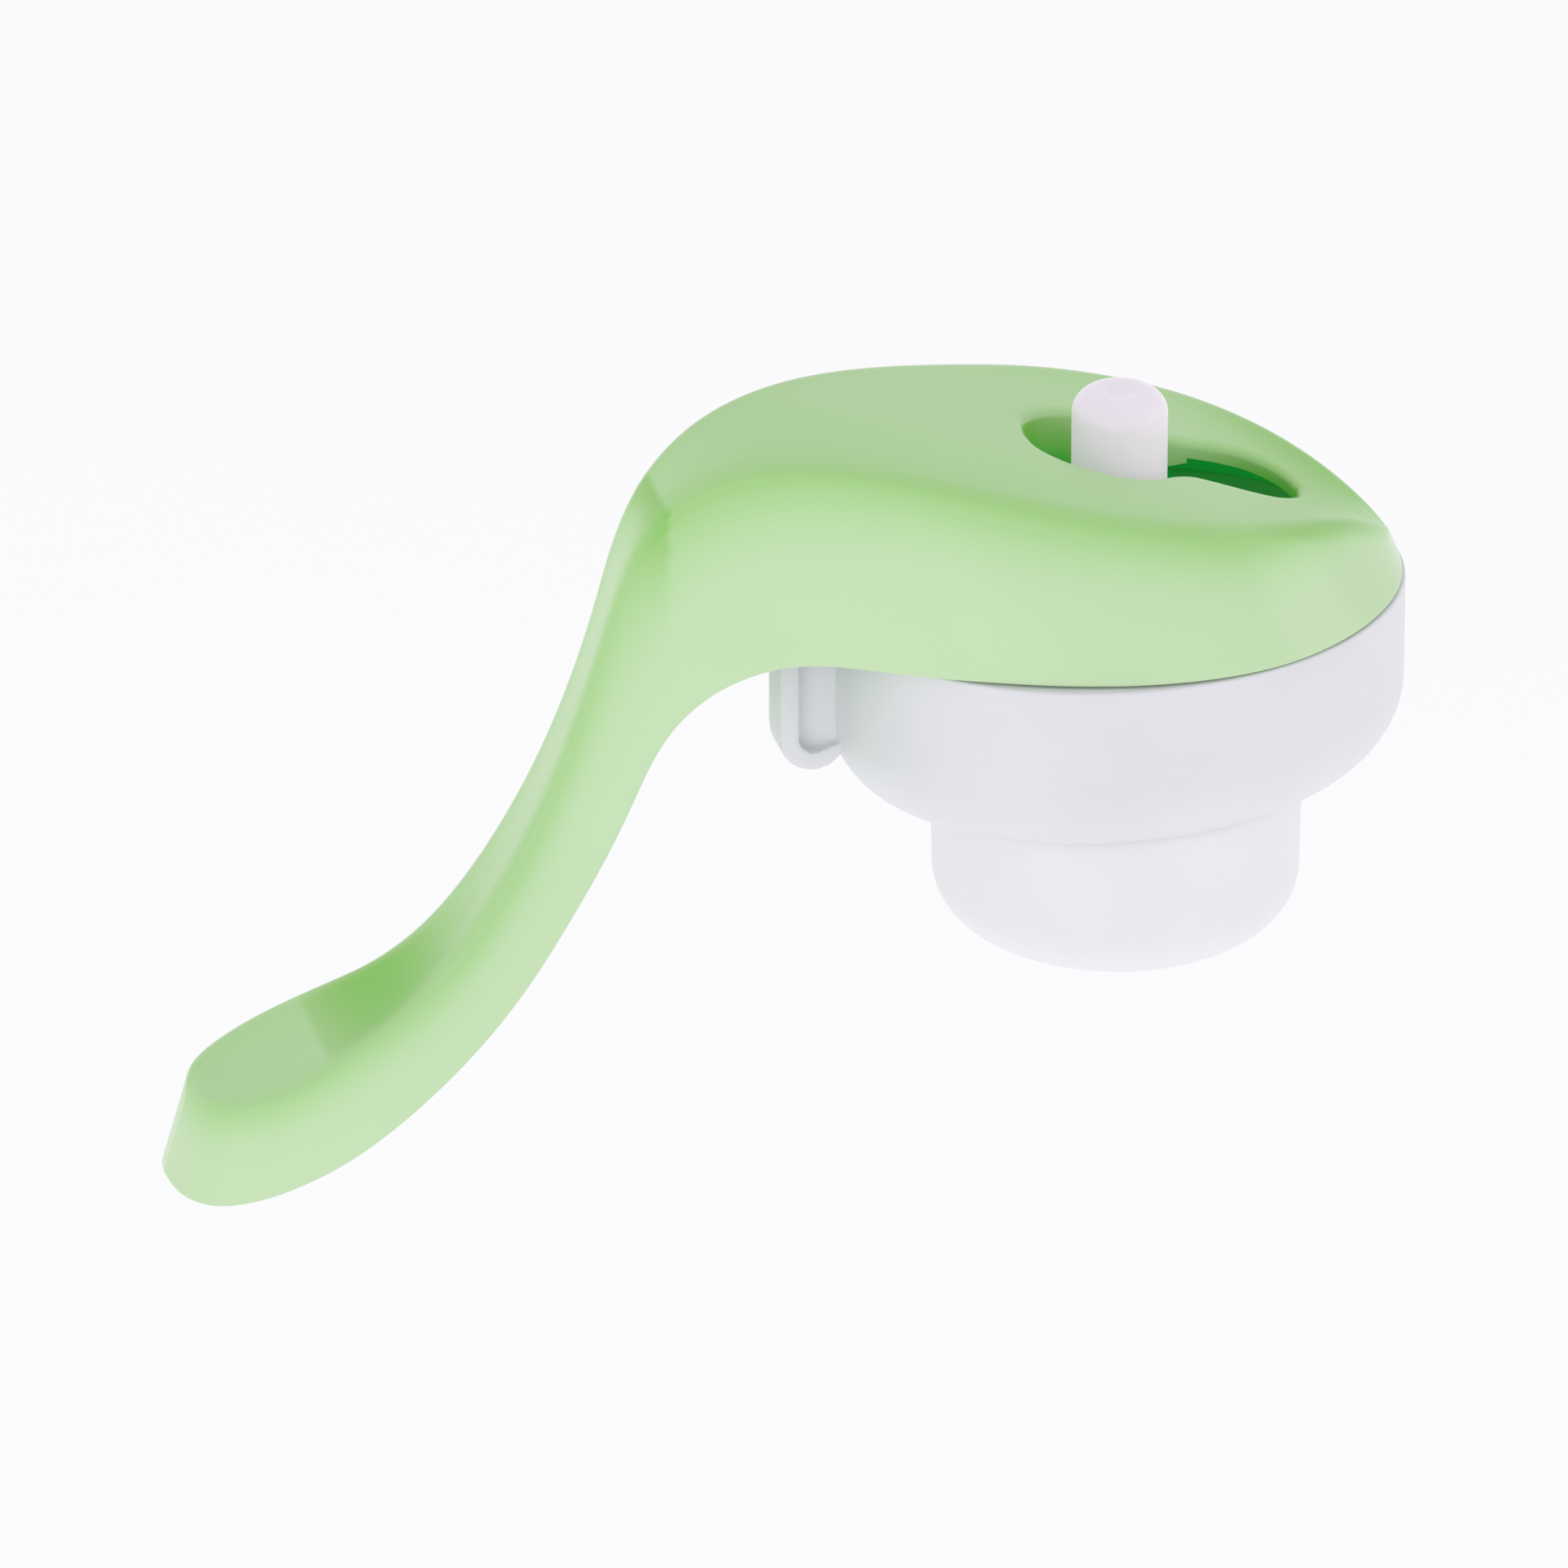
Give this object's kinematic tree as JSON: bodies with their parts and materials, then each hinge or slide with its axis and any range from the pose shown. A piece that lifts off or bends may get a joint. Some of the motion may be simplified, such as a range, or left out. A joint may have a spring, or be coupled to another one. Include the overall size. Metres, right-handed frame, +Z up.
{
  "type": "hand lever pump head",
  "caption": "Hand-squeezed suction pump head: a long curved lever lifts a stem through a keyhole, drawing up a soft round cup under an oval housing.",
  "frame": {"origin": "centre of the housing's seat plane, where the stem axis crosses the flat underside of the housing", "axes": "+X from the thumb arm towards the nose of the hood, +Z up along the stem"},
  "size_m": [0.1361, 0.0506, 0.0823],
  "materials": {
    "lever_green": "glossy light green moulded plastic",
    "frame_green": "deeper green moulded plastic",
    "housing_white": "satin white moulded plastic",
    "silicone": "milky translucent silicone",
    "acetal": "natural white acetal",
    "steel": "bright stainless steel"
  },
  "bodies": {
    "housing": {"housing_bowl": "housing_white", "guide_plate": "frame_green", "diaphragm": "silicone", "clamp_ring": "acetal", "guide_bush": "acetal", "hinge_washer_near": "acetal", "hinge_washer_far": "acetal", "return_spring": "steel", "spring_seat_upper": "steel", "guide_screw_1": "steel", "guide_screw_2": "steel", "guide_screw_3": "steel", "guide_screw_4": "steel", "clamp_screw_1": "steel", "clamp_screw_2": "steel"},
    "lever": {"lever_shell": "lever_green", "lever_frame": "frame_green", "arm_cover": "lever_green", "frame_screw_1": "steel", "frame_screw_2": "steel", "frame_screw_3": "steel", "frame_screw_4": "steel", "hinge_pin": "steel", "pin_clip_near": "steel", "pin_clip_far": "steel"},
    "stem": {"stem_rod": "acetal", "stem_cap": "housing_white", "piston_disc": "acetal", "piston_clip": "steel", "spring_seat_lower": "steel"}
  },
  "joints": [
    {"name": "lever_squeeze", "type": "hinge", "parent": "housing", "child": "lever", "pos_m": [-0.035, 0, 0.0331], "axis": [0, -1, 0], "range_deg": [0, 16], "stiffness_Nm_per_rad": 0.49, "springref_deg": -19.65},
    {"name": "stem_lift", "type": "slide", "parent": "housing", "child": "stem", "axis": [0, 0, 1], "range_m": [0, 0.0098], "deforming": ["return_spring", "diaphragm"]}
  ],
  "couplings": [
    {"joint": "stem_lift", "follows": "lever_squeeze", "m_per_rad": 0.035}
  ]
}
